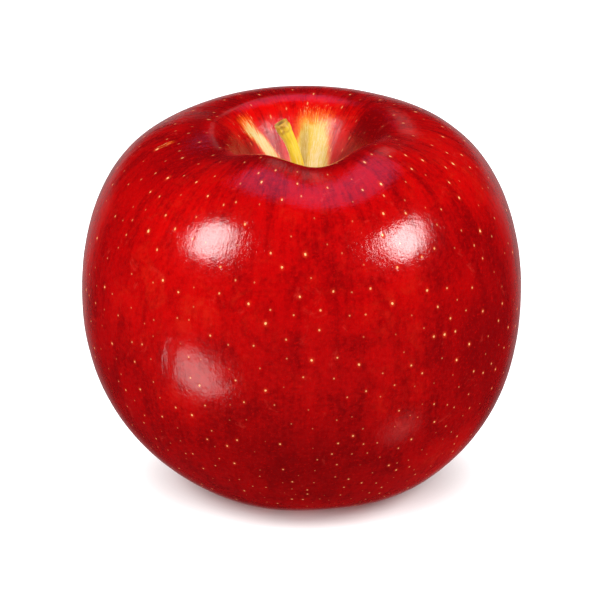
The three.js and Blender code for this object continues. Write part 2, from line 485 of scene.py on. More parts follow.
def yellow_share(station, turn, point):
    """How much of the yellow ground colour shows: in the cavity, in streaks up its wall, and in
    the basin round the sepals."""
    radius = math.hypot(point.x, point.y)
    ragged = noise.noise(Vector((2.2 * math.sin(turn), 2.2 * math.cos(turn), 3.1)))
    if station > 2.6:
        reach = radius / MM - 1.2 * ragged
        left_centre = -128 - 4 * max(12 - reach, 0)
        left = wedge(turn, left_centre, 2, 12) * (1 - smooth(reach, 10, 16.5))
        spread = 3 * max(11 - reach, 0)
        right = wedge(turn, 168, 6 + spread, 26 + spread) * (1 - smooth(reach, 10, 15.5))
        front = 0.34 * wedge(turn, -2, 8, 38) * (1 - 0.5 * smooth(station, 3.12, 3.34))
        front *= smooth(station, 3.03, 3.1)
        floor = 1 - smooth(reach, 4, 10)
        scar = 0.3 * wedge(turn, -80, 0.5, 2.2)
        scar *= smooth(radius, 22.5 * MM, 25 * MM) * (1 - smooth(radius, 26.5 * MM, 29 * MM))
        return 1 - (1 - left) * (1 - right) * (1 - front) * (1 - floor) * (1 - scar)
    if station < 1:
        reach = 4.6 + 1.5 * ragged
        return 0.75 * (1 - smooth(radius, (reach - 2) * MM, (reach + 2.5) * MM))
    return 0


# Patches of brighter or deeper skin, partly the skin's own flushed patches and partly painted light
# and shade, such as the lighter left of the front and the darker right side and low front: (turn in
# degrees, height, half width in degrees, half height, strength; a negative strength deepens the red).
FLUSH_AND_PAINTED_LIGHT_PATCHES = (
    (-30, 46 * MM, 24, 17 * MM, 0.65),
    (64, 67 * MM, 30, 8 * MM, 0.6),
    (20, 56 * MM, 26, 9 * MM, 0.25),
    (150, 40 * MM, 38, 18 * MM, 0.6),
    (-130, 52 * MM, 30, 16 * MM, 0.5),
    (27, 36 * MM, 10, 14 * MM, 0.3),
    (54, 40 * MM, 15, 18 * MM, -0.8),
    (-68, 70 * MM, 15, 3.5 * MM, -0.6),
    (-45, 64 * MM, 16, 7 * MM, 0.5),
    (-5, 23 * MM, 40, 9 * MM, -0.6),
    (-66, 34 * MM, 10, 10 * MM, -0.3),
    (-120, 32 * MM, 18, 18 * MM, -0.4),
    (50, 14 * MM, 22, 10 * MM, 0.7),
    (0, 4 * MM, 70, 6 * MM, 0.35),
    (-84, 46 * MM, 14, 16 * MM, 0.45),
    (0, 68 * MM, 24, 3 * MM, 0.25),
    (-175, 28 * MM, 30, 14 * MM, -0.35),
)


def russet_and_stem_shadow_share(station, turn, point):
    """How much olive-brown shows: one streak up the cavity's wall beside the stem, which is a painted
    shadow of the stem, and a little russeting round the stem's foot and in the basin."""
    radius = math.hypot(point.x, point.y) / MM
    if station > 3:
        # The streak beside the stem is a painted shadow of the stem.
        streak = wedge(turn, 177, 2, 7) * (1 - smooth(radius, 9.5, 13)) * smooth(radius, 4, 6)
        return max(0.8 * streak, 0.7 * (1 - smooth(radius, 2.2, 5)))
    return 0.6 * (1 - smooth(radius, 2.5, 5.5)) if station < 1 else 0


def flush_and_painted_light_share(station, turn, point):
    """How much brighter and more orange-red the skin is, partly its own flushed patches and partly
    painted light; below 0 it is deeper than the rest, partly deeper red and partly painted shade.
    """
    flush = 0.35 * noise.noise(point / (15 * MM) + Vector((0, 0, 20)))
    for middle, height, half_width, half_height, strength in FLUSH_AND_PAINTED_LIGHT_PATCHES:
        across = math.degrees(turn_gap(turn, math.radians(middle))) / half_width
        flush += strength * math.exp(-(across**2) - ((point.z - height) / half_height) ** 2)
    radius = math.hypot(point.x, point.y)
    # Painted light and shade in the cavity: its back wall is brightened as if lit, a streak just left
    # of the stem stays darker as a painted shadow of the stem, its right wall is darkened as painted
    # shade, and all of it from the crest inwards is a little deeper.
    painted_stem_shadow = wedge(turn, -150, 4, 11) * (1 - smooth(radius, 10.5 * MM, 12.5 * MM))
    back_wall = wedge(turn, -168, 55, 76) * (1 - 0.9 * painted_stem_shadow)
    right_wall = wedge(turn, 82, 30, 48) * (1 - smooth(station, 3.6, 3.8))
    flush += smooth(station, 3.0, 3.2) * (1.3 * back_wall - 0.9 * right_wall - 0.1)
    # Painted shade: a band round the crest darkens the skin under the cavity's lip, deepest at the
    # front, and wider and further in towards +X.
    to_right = math.sin(turn)
    rim_station = 2.98 + (0.15 if to_right > 0 else 0.06) * to_right
    rim_width = 0.08 + 0.08 * max(to_right, 0)
    deeper_red_and_painted_shade = math.exp(-(((station - rim_station) / rim_width) ** 2))
    return min(flush, 1) - deeper_red_and_painted_shade * (0.6 + 0.4 * math.cos(turn) + 0.3 * abs(to_right))


class Lenticels:
    """Lenticels spread over the fruit, each with its centre and its look."""

    rows = 400
    tries = 9000
    first_station = 0.3
    last_station = 3.72

    def __init__(self, shape, skin):
        self.centres = []
        self.looks = []
        dice = random.Random(skin.seed)
        rows = [LAST_STATION * (row + 0.5) / self.rows for row in range(self.rows)]
        weights = [max(shape.profile(station).x, 0) for station in rows]
        for _ in range(self.tries):
            station = dice.choices(rows, weights)[0] + dice.uniform(-0.005, 0.005)
            turn = dice.uniform(-math.pi, math.pi)
            size = dice.random()
            if not self.first_station < station < self.last_station:
                continue
            centre = shape.place(station, turn)
            rise = smooth(centre.z, 12 * MM, 52 * MM)
            spacing = skin.spacing_low + rise * (skin.spacing_high - skin.spacing_low)
            spacing *= 0.45 + 0.95 * dice.random()
            if any((centre - other).length_squared < spacing**2 for other in self.centres):
                continue
            self.centres.append(centre)
            self.looks.append(self.look(station, rise, size, skin))
        self.tree = kdtree.KDTree(len(self.centres))
        for index, centre in enumerate(self.centres):
            self.tree.insert(centre, index)
        self.tree.balance()

    @staticmethod
    def look(station, rise, size, skin):
        """Radius in millimetres, stretch along the meridian, and paleness."""
        top = smooth(station, 2.3, 2.9)
        radius = skin.core_radius / MM * (0.6 + 0.4 * rise + 0.5 * size**2) * (1 - 0.25 * top)
        stretch = 1.1 + 1.1 * smooth(station, 2.2, 3) + 0.6 * smooth(station, 3, 3.4)
        paleness = (0.16 + 0.84 * size**1.5) * (1 - 0.5 * smooth(station, 2.6, 3.1))
        return Vector((radius, stretch, paleness))

    def nearest(self, point):
        return self.tree.find(point)[1]


def fruit_bmesh(shape):
    """The fruit as a turned profile with its lobes and its skin relief."""
    sizes = shape.sizes
    bm = bmesh.new()
    layer = bm.verts.layers.float.new("station")
    stations = shape.even_stations(sizes.row_length)
    rows = len(stations) - 1
    edge = bm.edges.new([bm.verts.new((0, 0, 0)), bm.verts.new((rows, 0, 0))])
    bmesh.ops.subdivide_edges(bm, edges=[edge], cuts=rows - 1)
    for vert in bm.verts:
        vert[layer] = stations[round(vert.co.x)]
        vert.co = shape.profile(vert[layer])
    bmesh.ops.spin(
        bm,
        geom=bm.verts[:] + bm.edges[:],
        axis=(0, 0, 1),
        cent=(0, 0, 0),
        angle=2 * math.pi,
        steps=sizes.columns,
        use_merge=True,
    )
    bmesh.ops.remove_doubles(bm, verts=bm.verts, dist=MERGE_DISTANCE)
    for vert in bm.verts:
        vert.co = shape.sculpt(vert.co, vert[layer])
    bmesh.ops.recalc_face_normals(bm, faces=bm.faces)
    bm.normal_update()
    moves = [vert.normal * skin_relief(vert.co, vert[layer], sizes) for vert in bm.verts]
    for vert, move in zip(bm.verts, moves):
        vert.co += move
        vert.co.z = max(vert.co.z, 0)
    return bm


def write_attribute(mesh, name, kind, domain, values):
    """Stores one number or vector for each vertex or face."""
    attribute = mesh.attributes.new(name, kind, domain)
    if kind == "FLOAT":
        attribute.data.foreach_set("value", values)
    else:
        attribute.data.foreach_set("vector", [number for value in values for number in value])


def paint_fruit(piece, shape, lenticels):
    """Stores what the skin material reads: at each vertex the ground colour, the olive-brown russeting
    with the stem's painted shadow, the flushed tone with painted light and shade, and a coordinate
    that runs along the meridians; and each face's nearest lenticel."""
    mesh = piece.data
    stations = [item.value for item in mesh.attributes["station"].data]
    yellow, russet_and_stem_shadow, flush, meridian = [], [], [], []
    for vert, station in zip(mesh.vertices, stations):
        turn = turn_of(vert.co)
        yellow.append(yellow_share(station, turn, vert.co))
        russet_and_stem_shadow.append(russet_and_stem_shadow_share(station, turn, vert.co))
        flush.append(flush_and_painted_light_share(station, turn, vert.co))
        meridian.append((math.sin(turn), -math.cos(turn), station))
    write_attribute(mesh, "yellow", "FLOAT", "POINT", yellow)
    write_attribute(mesh, "russet_and_stem_shadow", "FLOAT", "POINT", russet_and_stem_shadow)
    write_attribute(mesh, "flush", "FLOAT", "POINT", flush)
    write_attribute(mesh, "meridian", "FLOAT_VECTOR", "POINT", meridian)
    nearest = [lenticels.nearest(face.center) for face in mesh.polygons]
    centres = [lenticels.centres[index] for index in nearest]
    looks = [lenticels.looks[index] for index in nearest]
    write_attribute(mesh, "lenticel_centre", "FLOAT_VECTOR", "FACE", centres)
    write_attribute(mesh, "lenticel_look", "FLOAT_VECTOR", "FACE", looks)


# Heights of the skin's fine relief.
RIPPLE_HEIGHT = 0.04 * MM
WRINKLE_HEIGHT = 0.022 * MM
GRAIN_HEIGHT = 0.028 * MM
PIT_DEPTH = 0.022 * MM


def skin_material(skin):
    """Waxy red skin with meridian streaks, mottling, a yellow ground colour and lenticels, with
    painted light and shade laid on by its flushed patches and by the olive-brown streak beside the
    stem.
    """
    material, nodes = new_material("apple_skin")
    place = nodes.add("ShaderNodeTexCoord").outputs["Object"]
    meridian = nodes.attribute("meridian").outputs["Vector"]
    look = nodes.attribute("lenticel_look").outputs["Vector"]
    radius_mm, stretch, paleness = nodes.split(look)

    # Streaks run along the meridians; mottling doesn't.
    broad_streaks = nodes.noise(nodes.scaled(meridian, (1, 1, 0.35)), 9, 3, 0.6, 0.6)
    fine_streaks = nodes.noise(nodes.scaled(meridian, (1, 1, 0.12)), 34, 4, 0.65, 0.4)
    mottling = nodes.noise(place, 130, 4, 0.6, 0.5)
    grain = nodes.noise(place, 1100, 3, 0.7)
    to_right, _, station = nodes.split(meridian)
    streaks = nodes.maths("MULTIPLY_ADD", broad_streaks, 0.28, -0.26)
    streaks = nodes.maths("MULTIPLY_ADD", fine_streaks, 0.24, streaks)
    streaks = nodes.maths("MULTIPLY", streaks, nodes.span(station, 2.2, 2.75, 1, 2.4))
    depth = nodes.maths("MULTIPLY_ADD", mottling, 0.55, 0.06)
    depth = nodes.maths("ADD", depth, streaks)
    depth = nodes.maths("MULTIPLY_ADD", grain, 0.45, depth)
    red = nodes.mix(nodes.span(depth, 0.34, 0.72), skin.deep, skin.red)
    # The flush attribute is partly the skin's own flushed patches and partly painted light and shade:
    # above 0 it brightens the skin towards the flush colour, and below 0 it deepens it towards the
    # deep red, partly as deeper patches and partly as painted shade.
    flush = nodes.attribute("flush").outputs["Fac"]
    deeper_red_and_painted_shade = nodes.maths("MULTIPLY", flush, -0.85, clamp=True)
    flush = nodes.maths("MULTIPLY", flush, nodes.span(depth, 0.3, 0.7, 0.3, 1), clamp=True)
    red = nodes.mix(flush, red, skin.flush)
    red = nodes.mix(deeper_red_and_painted_shade, red, skin.deep)
    specks = nodes.span(nodes.noise(place, 2300, 2, 0.6), 0.54, 0.72, 0, 0.4)
    red = nodes.mix(specks, red, skin.flush)
    clouds = nodes.span(nodes.noise(place, 260, 5, 0.75, 0.8), 0.48, 0.72, 0, 0.35)
    red = nodes.mix(nodes.maths("MULTIPLY", clouds, flush), red, skin.halo)
    scuffs = nodes.span(nodes.noise(place, 210, 5, 0.7, 0.8), 0.6, 0.78, 0, 0.5)
    red = nodes.mix(scuffs, red, skin.scuff)

    # The ground colour breaks through in streaks that follow the meridians.
    hair_streaks = nodes.noise(nodes.scaled(meridian, (1, 1, 0.2)), 95, 3, 0.7, 0.3)
    breakup = nodes.maths("MULTIPLY_ADD", fine_streaks, 1.5, -1.0)
    breakup = nodes.maths("MULTIPLY_ADD", hair_streaks, 1.8, breakup)
    breakup = nodes.maths("MULTIPLY_ADD", grain, 0.5, breakup)
    yellow = nodes.attribute("yellow").outputs["Fac"]
    edge = nodes.maths("MULTIPLY", yellow, nodes.maths("SUBTRACT", 1.4, yellow))
    yellow = nodes.maths("MULTIPLY_ADD", edge, nodes.maths("SUBTRACT", breakup, 0.95), yellow)
    skin_colour = nodes.mix(nodes.span(yellow, 0.1, 0.5), red, skin.orange)
    skin_colour = nodes.mix(nodes.span(yellow, 0.4, 0.85), skin_colour, skin.ground)
    pale = nodes.maths("MULTIPLY", nodes.span(yellow, 0.6, 1.1), nodes.span(breakup, 0.72, 1.1))
    on_left = nodes.span(to_right, -0.3, -0.7)
    cream = nodes.maths("MULTIPLY", nodes.span(yellow, 0.35, 0.9), on_left)
    cream = nodes.maths("MULTIPLY", cream, nodes.span(breakup, 0.6, 1.0, 0.3, 1))
    skin_colour = nodes.mix(nodes.maths("MAXIMUM", pale, cream), skin_colour, skin.pale)
    near_yellow = nodes.span(yellow, 0.02, 0.3)
    strokes = nodes.maths("MULTIPLY", nodes.span(hair_streaks, 0.56, 0.7), near_yellow)
    strokes = nodes.maths("MULTIPLY", strokes, nodes.span(mottling, 0.45, 0.6))
    skin_colour = nodes.mix(strokes, skin_colour, skin.pale)
    # The russet attribute paints the stem's shadow up the cavity's wall, and russeting round the
    # stem's foot and in the basin.
    russet_and_stem_shadow = nodes.attribute("russet_and_stem_shadow").outputs["Fac"]
    russet_and_stem_shadow = nodes.maths("MULTIPLY", russet_and_stem_shadow, nodes.span(breakup, 1.25, 0.75, 0.45, 1))
    skin_colour = nodes.mix(russet_and_stem_shadow, skin_colour, skin.russet_and_stem_shadow)

    # Distance to the nearest lenticel, shorter across the meridian than along it.
    centre = nodes.attribute("lenticel_centre").outputs["Vector"]
    offset = nodes.vector("SUBTRACT", place, centre)
    across_way = nodes.vector("NORMALIZE", nodes.vector("CROSS_PRODUCT", (0, 0, 1), centre))
    across = nodes.vector("DOT_PRODUCT", offset, across_way, result="Value")
    whole = nodes.vector("LENGTH", offset, result="Value")
    along_squared = nodes.maths(
        "SUBTRACT", nodes.maths("MULTIPLY", whole, whole), nodes.maths("MULTIPLY", across, across)
    )
    along_squared = nodes.maths("DIVIDE", along_squared, nodes.maths("MULTIPLY", stretch, stretch))
    distance = nodes.maths("MULTIPLY_ADD", across, across, along_squared)
    distance = nodes.maths("SQRT", nodes.maths("MAXIMUM", distance, 0))
    ragged = nodes.maths("MULTIPLY_ADD", nodes.noise(place, 2600, 1), 0.9, 0.55)
    distance = nodes.maths("MULTIPLY", distance, ragged)
    reach = nodes.maths("DIVIDE", distance, nodes.maths("MULTIPLY", radius_mm, MM))
    core = nodes.maths("MULTIPLY", nodes.span(reach, 0.5, 1.15, 1, 0), paleness)
    halo = nodes.maths("MULTIPLY", nodes.span(reach, 0.8, 3.6, 1, 0), paleness)
    halo = nodes.maths("MULTIPLY", halo, nodes.maths("MULTIPLY_ADD", halo, 0.45, 0.2))
    skin_colour = nodes.mix(halo, skin_colour, skin.halo)
    skin_colour = nodes.mix(core, skin_colour, skin.lenticel)

    # Relief: wax ripples, fine wrinkles and lenticel pits.
    folds = nodes.noise(nodes.scaled(meridian, (1, 1, 0.16)), 30, 2, 0.5, 0.5)
    folds = nodes.maths("MULTIPLY", folds, nodes.span(station, 2.3, 3.0, 0.02, 0.06))
    ripples = nodes.noise(place, 420, 2, 0.5, 0.3)
    wrinkles = nodes.noise(nodes.scaled(meridian, (1, 1, 0.45)), 95, 3, 0.6, 1.2)
    height = nodes.maths("MULTIPLY", ripples, RIPPLE_HEIGHT)
    height = nodes.maths("MULTIPLY_ADD", folds, MM, height)
    height = nodes.maths("MULTIPLY_ADD", wrinkles, WRINKLE_HEIGHT, height)
    height = nodes.maths("MULTIPLY_ADD", nodes.noise(place, 1700, 2, 0.6), GRAIN_HEIGHT, height)
    pit = nodes.maths("MULTIPLY", nodes.span(reach, 0.6, 2.8, 1, 0), paleness)
    height = nodes.maths("MULTIPLY_ADD", pit, -PIT_DEPTH, height)
    roughness = nodes.maths("MULTIPLY_ADD", grain, 0.1, skin.roughness - 0.05)
    matte = nodes.span(station, 3.15, 3.5, 0, 0.3)
    nodes.surface(
        Base_Color=skin_colour,
        Roughness=nodes.maths("ADD", roughness, matte),
        Normal=nodes.bump(height),
        IOR=1.45,
        Sheen_Weight=0.12,
        Sheen_Roughness=0.35,
        Sheen_Tint=(1, 0.1, 0.12),
    )
    return material


class APPLE_OT_fruit(bpy.types.Operator):
    """Build the fruit with its skin"""

    bl_idname = "apple.fruit"
    bl_label = "Fruit"

    def execute(self, context):
        shape = FruitShape(context.scene.apple_fruit)
        skin = context.scene.apple_skin
        material = skin_material(skin)
        piece = new_piece("apple_body", fruit_bmesh(shape), material)
        paint_fruit(piece, shape, Lenticels(shape, skin))
        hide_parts("fruit")
        return {"FINISHED"}


# ---------------------------------------------------------------------------------------------
# Stem


def stem_radius(along, stem):
    """The stem's radius at a share of its length: a broad foot, a slim middle, a flared tip."""
    foot = stem.foot_radius * (1 + 0.9 * (1 - smooth(along, 0, 0.1)))
    radius = foot + (stem.radius - foot) * smooth(along, 0, 0.3)
    radius += (stem.tip_radius - stem.radius) * smooth(along, 0.78, 0.95)
    return radius * (1 - 0.3 * smooth(along, 0.97, 1))


def stem_material(stem):
    """Woody yellow-green bark with long ridges, brown furrows and a dried brown tip, and a pale band
    of painted light down its -X side.
    """
    material, nodes = new_material("apple_stem_bark")
    place = nodes.add("ShaderNodeTexCoord").outputs["Object"]
    grain = nodes.attribute("grain").outputs["Vector"]
    along = nodes.attribute("along").outputs["Fac"]
    fibres = nodes.noise(nodes.scaled(grain, (1, 1, 0.9)), 3.2, 4, 0.65, 0.4)
    blotches = nodes.noise(place, 700, 3, 0.6, 0.5)
    bark = nodes.mix(nodes.span(fibres, 0.5, 0.72), stem.body, stem.ridge_and_painted_light)
    bark = nodes.mix(nodes.span(fibres, 0.46, 0.3), bark, stem.groove)
    bark = nodes.mix(nodes.span(blotches, 0.56, 0.72, 0, 0.55), bark, stem.groove)
    # Painted light: a pale band down the stem's -X side, which faces the left soft box, is painted in
    # the ridge colour.
    to_right = nodes.split(grain)["X"]
    bark = nodes.mix(nodes.span(to_right, -0.8, -0.97), bark, stem.ridge_and_painted_light)
    worn = nodes.maths("MULTIPLY_ADD", blotches, 0.16, along)
    bark = nodes.mix(nodes.span(worn, 0.95, 1.05, 0, 0.75), bark, stem.tip)
    bark = nodes.mix(nodes.attribute("hollow").outputs["Fac"], bark, stem.pith)
    height = nodes.maths("MULTIPLY", fibres, 0.12 * MM)
    height = nodes.maths("MULTIPLY_ADD", blotches, 0.05 * MM, height)
    nodes.surface(Base_Color=bark, Roughness=0.5, Normal=nodes.bump(height), IOR=1.45)
    return material


class APPLE_OT_stem(bpy.types.Operator):
    """Build the leaning stem"""

    bl_idname = "apple.stem"
    bl_label = "Stem"

    sides = 36
    rings = 90
    tip_rings = 5
    ragged_tip = 0.4 * MM

    def execute(self, context):
        stem = context.scene.apple_stem
        foot = STEM_LOW.z - stem.sink
        height = STEM_HIGH.z - self.ragged_tip - foot
        bm = bmesh.new()
        edge = bm.edges.new([bm.verts.new((0, 0, 0)), bm.verts.new((0, 0, height))])
        bmesh.ops.subdivide_edges(bm, edges=[edge], cuts=self.rings)
        # The two ends have one edge each. They stay on the axis, so that the spin closes them.
        for vert in bm.verts:
            if len(vert.link_edges) == 2:
                vert.co.x = stem_radius(vert.co.z / height, stem)
        # The flat end of the tip gets rings of its own, so that it can be dished.
        tip_end = max(bm.verts, key=lambda vert: vert.co.z)
        bmesh.ops.subdivide_edges(bm, edges=tip_end.link_edges[:], cuts=self.tip_rings)
        bmesh.ops.spin(
            bm,
            geom=bm.verts[:] + bm.edges[:],
            axis=(0, 0, 1),
            cent=(0, 0, 0),
            angle=2 * math.pi,
            steps=self.sides,
            use_merge=True,
        )
        bmesh.ops.remove_doubles(bm, verts=bm.verts, dist=MERGE_DISTANCE)
        along_layer = bm.verts.layers.float.new("along")
        hollow_layer = bm.verts.layers.float.new("hollow")
        grain_layer = bm.verts.layers.float_vector.new("grain")
        centre_line = [
            Vector((0, 0, foot)),
            Vector((0.2 * MM, 0, foot + height / 3)),
            Vector((-0.05 * stem.lean, 0, foot + height * 2 / 3)),
            Vector((-stem.lean, 0, foot + height)),
        ]
        for vert in bm.verts:
            outwards = math.hypot(vert.co.x, vert.co.y) / stem.tip_radius
            hollow = smooth(vert.co.z / height, 0.97, 1) * (1 - smooth(outwards, 0.35, 0.75))
            vert[hollow_layer] = hollow
            self.bend(vert, height, centre_line, along_layer, grain_layer)
        bmesh.ops.recalc_face_normals(bm, faces=bm.faces)
        piece = new_piece("apple_stem", bm, stem_material(stem))
        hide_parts("stem")
        return {"FINISHED"}

    def bend(self, vert, height, centre_line, along_layer, grain_layer):
        """Gives a point of the straight stem its ridges, and bends it onto the centre line."""
        along = vert.co.z / height
        turn = turn_of(vert.co)
        ridges = 0.05 * math.cos(5 * turn + 2.5 * along) + 0.035 * math.cos(9 * turn - 1.5 * along)
        knots = 0.1 * noise.noise(Vector((2 * math.sin(turn), 2 * math.cos(turn), 7 * along)))
        tip = smooth(along, 0.84, 0.97)
        crumbs = noise.noise(vert.co / (0.55 * MM))
        width = 1 + ridges + knots + 0.22 * tip * crumbs
        centre = cubic(centre_line, along)
        ahead = cubic(centre_line, min(along + 0.01, 1)) - cubic(centre_line, min(along, 0.99))
        across = Vector((ahead.z, 0, -ahead.x)).normalized()
        radius = math.hypot(vert.co.x, vert.co.y)
        vert[along_layer] = along
        vert[grain_layer] = (math.sin(turn), math.cos(turn), along)
        dish = 0.5 * MM * tip * (radius / (1.2 * MM) - 0.9 + 0.6 * crumbs)
        vert.co = centre + across * vert.co.x * width + Vector((0, vert.co.y * width, dish))


# ---------------------------------------------------------------------------------------------
# Dried flower


def sepal_material(calyx):
    """Dried brown sepal with lengthwise streaks of grey down."""
    material, nodes = new_material("apple_dried_sepal")
    place = nodes.add("ShaderNodeTexCoord").outputs["Object"]
    down = nodes.noise(nodes.scaled(place, (1, 1, 0.35)), 2600, 4, 0.7, 0.4)
    patches = nodes.noise(place, 600, 2, 0.5)
    brown = nodes.mix(nodes.span(patches, 0.35, 0.65), calyx.filament_brown, calyx.sepal_brown)
    felt = nodes.mix(nodes.span(down, 0.48, 0.66), brown, calyx.sepal_grey)
    height = nodes.maths("MULTIPLY", down, 0.09 * MM)
    nodes.surface(
        Base_Color=felt, Roughness=0.85, Normal=nodes.bump(height), Specular_IOR_Level=0.25
    )
    return material


def filament_material(calyx):
    """Withered dark brown stamens with paler flecks."""
    material, nodes = new_material("apple_dried_stamen")
    place = nodes.add("ShaderNodeTexCoord").outputs["Object"]
    flecks = nodes.noise(place, 3200, 3, 0.6)
    brown = nodes.mix(nodes.span(flecks, 0.45, 0.7), calyx.filament_brown, calyx.sepal_brown)
    height = nodes.maths("MULTIPLY", flecks, 0.05 * MM)
    nodes.surface(
        Base_Color=brown, Roughness=0.8, Normal=nodes.bump(height), Specular_IOR_Level=0.3
    )
    return material


class APPLE_OT_sepals(bpy.types.Operator):
    """Build the five dried sepals in the calyx basin"""

    bl_idname = "apple.sepals"
    bl_label = "Sepals"

    root_lift = 0.25 * MM

    def execute(self, context):
        calyx = context.scene.apple_calyx
        fruit = context.scene.apple_fruit
        material = sepal_material(calyx)
        lows, highs = zip(*(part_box(node) for node in SEPAL_NODES))
        root_height = max(high.z for high in highs)
        blade_length = root_height - min(low.z for low in lows)
        axis_x = (min(low.x for low in lows) + max(high.x for high in highs)) / 2
        for index, node in enumerate(SEPAL_NODES):
            turn = fruit.lobe_turn + index * 2 * math.pi / LOBES
            bm = self.blade(calyx, blade_length, random.Random(index))
            bmesh.ops.rotate(
                bm, verts=bm.verts, cent=(0, 0, 0), matrix=Matrix.Rotation(calyx.lean, 3, "X")
            )
            bmesh.ops.translate(bm, verts=bm.verts, vec=(0, -calyx.ring_radius, 0))
            bmesh.ops.rotate(
                bm, verts=bm.verts, cent=(0, 0, 0), matrix=Matrix.Rotation(turn, 3, "Z")
            )
            bmesh.ops.translate(bm, verts=bm.verts, vec=(axis_x, 0, root_height + self.root_lift))
            piece = new_piece(f"sepal_blade_{index + 1}", bm, material)
            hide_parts(node)
        return {"FINISHED"}

    @staticmethod
    def blade(calyx, blade_length, dice):
        """One pointed blade that hangs from its root, cupped along its middle, its tip curled
        outwards and its edges crinkled."""
        bm = bmesh.new()
        bmesh.ops.create_grid(bm, x_segments=10, y_segments=22, size=0.5)
        phase = dice.uniform(0, 9)
        curl = calyx.sepal_curl * dice.uniform(0.6, 1.3)
        side_bend = dice.uniform(-0.5, 0.5) * MM
        for vert in bm.verts:
            along = 0.5 - vert.co.y
            across = 2 * vert.co.x
            taper = (1 - along**1.8) ** 0.8 * (0.8 + 0.4 * smooth(along, 0, 0.3))
            width = max(calyx.sepal_width / 2 * taper, 0.12 * MM)
            cup = 0.35 * MM * across**2 * (1 - 0.5 * along)
            crinkle = 0.16 * MM * math.sin(8 * along + 3 * across + phase) * abs(across)
            vein = -0.12 * MM * math.exp(-((across / 0.18) ** 2))
            vert.co = (
                across * width + side_bend * along**2,
                cup + crinkle + vein - curl * along**2.5,
                -along * blade_length,
            )
        bmesh.ops.recalc_face_normals(bm, faces=bm.faces)
        bmesh.ops.solidify(bm, geom=bm.faces[:], thickness=calyx.sepal_thickness)
        bmesh.ops.recalc_face_normals(bm, faces=bm.faces)
        return bm


class APPLE_OT_stamens(bpy.types.Operator):
    """Build the tuft of withered stamens between the sepals"""

    bl_idname = "apple.stamens"
    bl_label = "Stamens"

    seed = 3
    root_lift = 0.5 * MM

    def execute(self, context):
        calyx = context.scene.apple_calyx
        low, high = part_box("stamen_tuft")
        middle = (low + high) / 2
        dice = random.Random(self.seed)
        bm = bmesh.new()
        for index in range(calyx.filaments):
            self.filament(bm, index, calyx.filaments, high.z - low.z, dice)
        root = (middle.x, middle.y, high.z + self.root_lift)
        bmesh.ops.translate(bm, verts=bm.verts, vec=root)
        piece = new_piece("stamens", bm, filament_material(calyx))
        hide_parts("stamen_tuft")
        return {"FINISHED"}

    @staticmethod
    def filament(bm, index, count, tuft_length, dice):
        """Adds one thin bent filament with a knob at its lower end."""
        ring = 0.0 if index == 0 else dice.uniform(0.45, 1.5) * MM
        turn = index * 2 * math.pi / (count - 1) + dice.uniform(-0.2, 0.2)
        reach = tuft_length * dice.uniform(0.8, 1.35)
        bend = dice.uniform(-0.5, 0.8) * MM
        made = bmesh.ops.create_uvsphere(bm, u_segments=8, v_segments=14, radius=1)
        way = Vector((math.sin(turn), -math.cos(turn), 0))
        for vert in made["verts"]:
            along = math.acos(min(max(vert.co.z, -1), 1)) / math.pi
            flat = Vector((vert.co.x, vert.co.y, 0))
            knob = 1 + 1.3 * math.exp(-(((along - 0.9) / 0.09) ** 2))
            side = flat.normalized() * 0.13 * MM * knob * min(flat.length * 2.2, 1)
            drift = way * (ring * (1 - 0.35 * along) + bend * math.sin(2.2 * along))
            vert.co = side + drift + Vector((0, 0, -along * reach))


# ---------------------------------------------------------------------------------------------
# Studio

# Soft boxes: (name, turn and elevation seen from the apple in degrees, width, height, power, roll
# in degrees). The two low ones stand for light that the floor throws back.
SOFT_BOX_DISTANCE = 0.55
SOFT_BOXES = (
    ("left_soft_box", -58, 38, 0.215, 0.28, 2.75, 0),
    ("right_soft_box", 62, 36, 0.22, 0.25, 2.85, 0),
    ("low_left_glow", -53, -24, 0.24, 0.14, 0.36, -12),
    ("low_right_glow", 62, -46, 0.1, 0.15, 0.015, 0),
    ("back_strip", 170, 39, 0.07, 0.22, 0.022, 0),
)

# The violet panel, overhead and behind, that the front of the shoulder mirrors.
PANEL_PLACE = (0, 0.31, 0.72)
PANEL_TARGET = (0, 0.31, 0)
PANEL_SIZE = 0.5
PANEL_POWER = 0.6
PANEL_TINT = (0.45, 0.42, 1)

# The shadow under the apple, partly cast and partly painted into the floor's colour and glow: its
# shift and its squeeze, the reach of its painted dark core, and where the floor's glow starts and is
# full, all measured after the squeeze.
FLOOR_HALF_WIDTH = 6
SHADOW_SHIFT = (-1.5 * MM, 0, 0)
SHADOW_SQUEEZE = (0.96, 1.42, 1)
SHADOW_CORE = (14 * MM, 26 * MM)
SHADOW_COLOUR = (0.2, 0.2, 0.2)
GLOW_REACH = (19 * MM, 41 * MM)


def aim(thing, place, target, roll=0):
    """Puts a lamp or camera at a place, looking at a target, rolled by some degrees."""
    turned = (target - place).to_track_quat("-Z", "Y").to_matrix()
    turned = turned @ Matrix.Rotation(math.radians(roll), 3, "Z")
    thing.location = place
    thing.rotation_euler = turned.to_euler()


def direction(turn, elevation):
    """The unit vector at a turn from the front towards +X and an elevation, in degrees."""
    turn, elevation = math.radians(turn), math.radians(elevation)
    flat = math.cos(elevation)
    return Vector((math.sin(turn) * flat, -math.cos(turn) * flat, math.sin(elevation)))


def add_lamp(name, place, target, width, height, power, roll=0, tint=(1, 1, 1)):
    light = bpy.data.lights.new(name, "AREA")
    light.shape = "ELLIPSE"
    light.size = width
    light.size_y = height
    light.energy = power
    light.color = tint
    lamp = bpy.data.objects.new(name, light)
    bpy.context.scene.collection.objects.link(lamp)
    lamp.visible_camera = False
    aim(lamp, Vector(place), Vector(target), roll)


